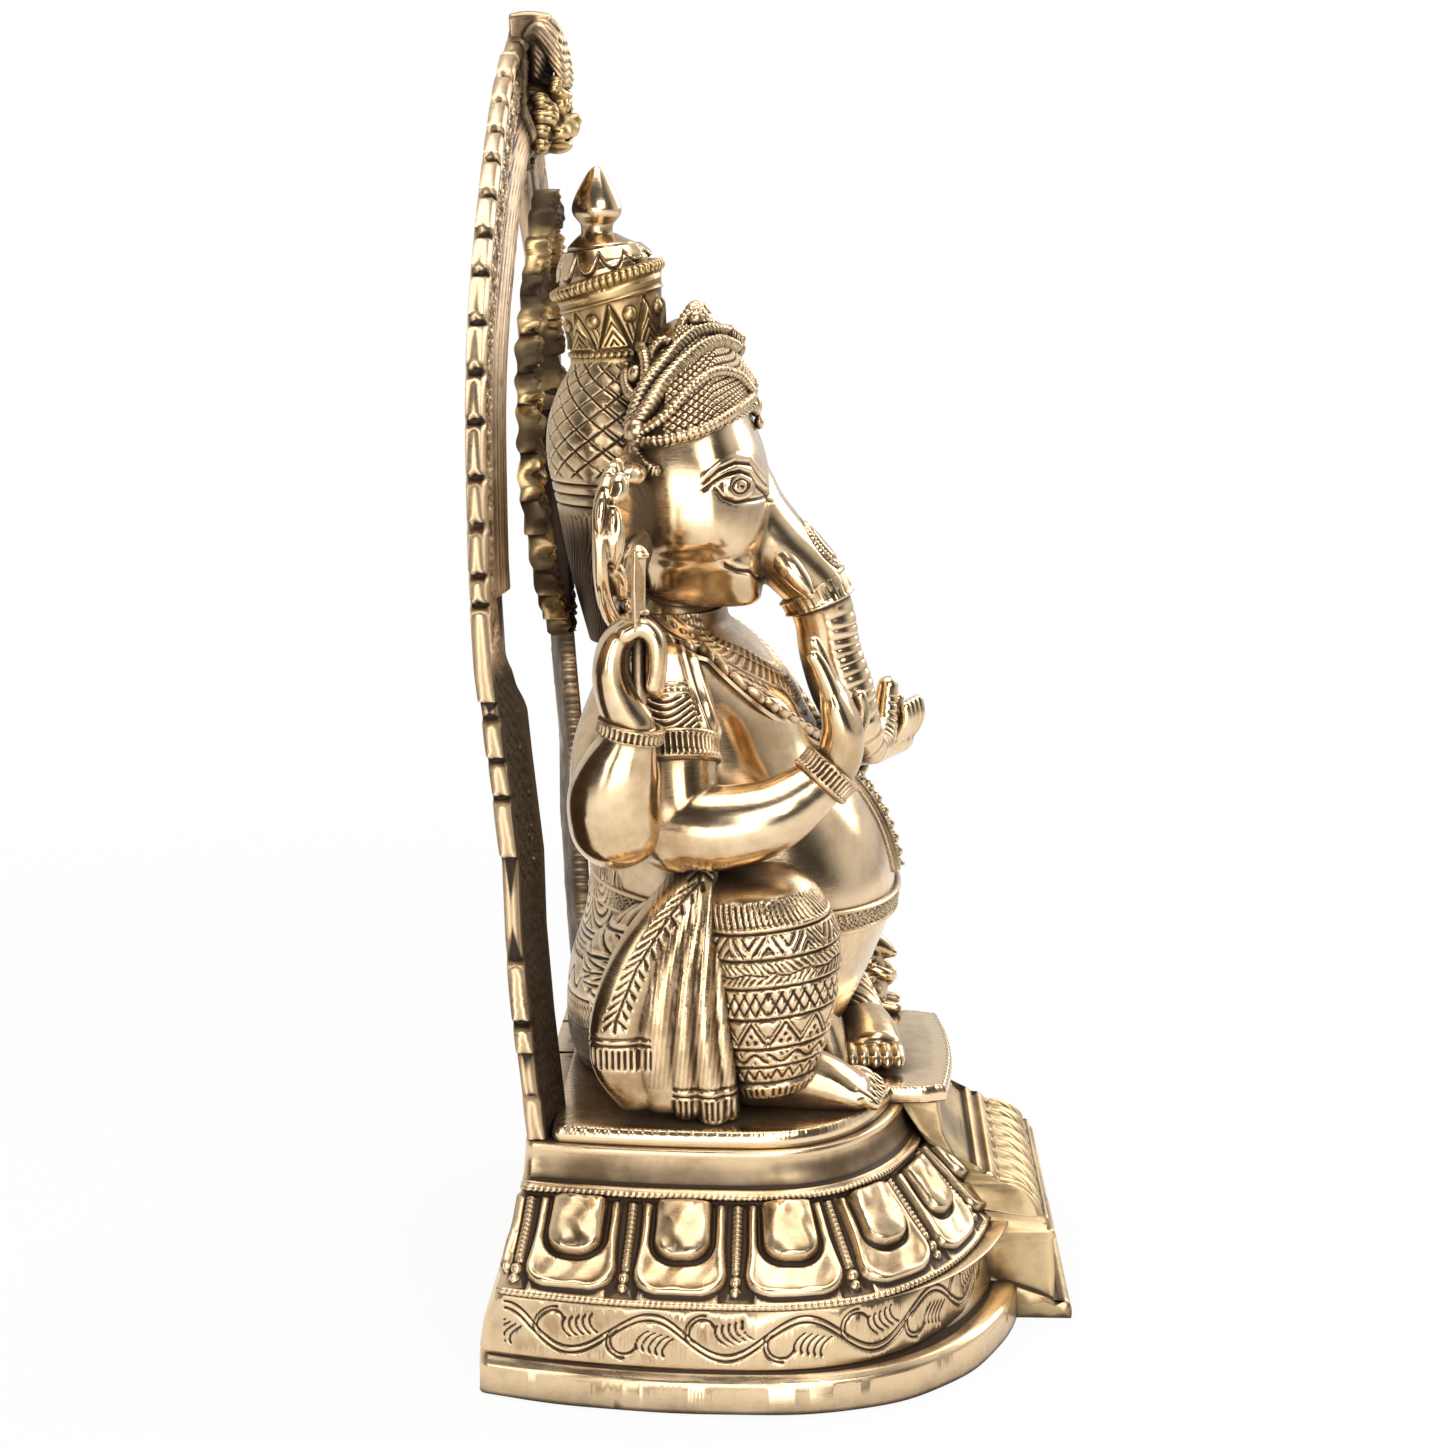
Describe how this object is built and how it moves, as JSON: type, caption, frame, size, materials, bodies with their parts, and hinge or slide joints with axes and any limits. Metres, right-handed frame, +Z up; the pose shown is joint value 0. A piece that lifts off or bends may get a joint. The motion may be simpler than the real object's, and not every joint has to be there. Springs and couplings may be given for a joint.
{
  "type": "ganesha idol",
  "caption": "Seated four-armed elephant-headed brass idol on a lotus pedestal under a cogged arch with a flame ring.",
  "frame": {"origin": "middle of the footprint, on the surface the idol stands on", "axes": "+Z up, the figure faces -Y, its right hand is on the -X side"},
  "size_m": [0.196, 0.136, 0.3044],
  "materials": {
    "antique_brass": "cast and chased, dark patina in the recesses",
    "polished_brass": "polished with a thin patina",
    "cast_brass": "as cast, dull and rough",
    "golden_brass": "satin, warm tone",
    "yellow_brass": "rough cast, yellow tone",
    "screw_steel": "plain"
  },
  "bodies": {
    "root": {"arch": "cast_brass", "axe": "golden_brass", "belly_sash": "antique_brass", "collar": "antique_brass", "crown_brim": "golden_brass", "crown_dome": "polished_brass", "crown_drum": "antique_brass", "crown_finial": "polished_brass", "figure_bolts": "screw_steel", "flame_ring": "golden_brass", "front_step": "yellow_brass", "garment_pleats": "antique_brass", "hair_bun": "antique_brass", "head": "polished_brass", "left_armlet": "antique_brass", "left_ear": "antique_brass", "left_foot": "polished_brass", "left_front_arm": "polished_brass", "left_front_bracelet": "antique_brass", "left_front_hand": "polished_brass", "left_leg": "antique_brass", "left_rear_arm": "polished_brass", "left_rear_bracelet": "antique_brass", "left_rear_hand": "polished_brass", "left_sash_tail": "antique_brass", "left_tusk": "polished_brass", "lion_crest": "cast_brass", "lion_mask": "cast_brass", "mouse": "polished_brass", "noose": "golden_brass", "pedestal": "antique_brass", "right_armlet": "antique_brass", "right_ear": "antique_brass", "right_foot": "polished_brass", "right_front_arm": "polished_brass", "right_front_bracelet": "antique_brass", "right_front_hand": "polished_brass", "right_leg": "antique_brass", "right_rear_arm": "polished_brass", "right_rear_bracelet": "antique_brass", "right_rear_hand": "polished_brass", "right_sash_tail": "antique_brass", "right_tusk": "polished_brass", "seat_plate": "antique_brass", "sweet": "polished_brass", "tiara": "antique_brass", "torso": "polished_brass", "trunk": "polished_brass", "waist_belt": "antique_brass", "waist_drape": "antique_brass"}
  },
  "joints": []
}
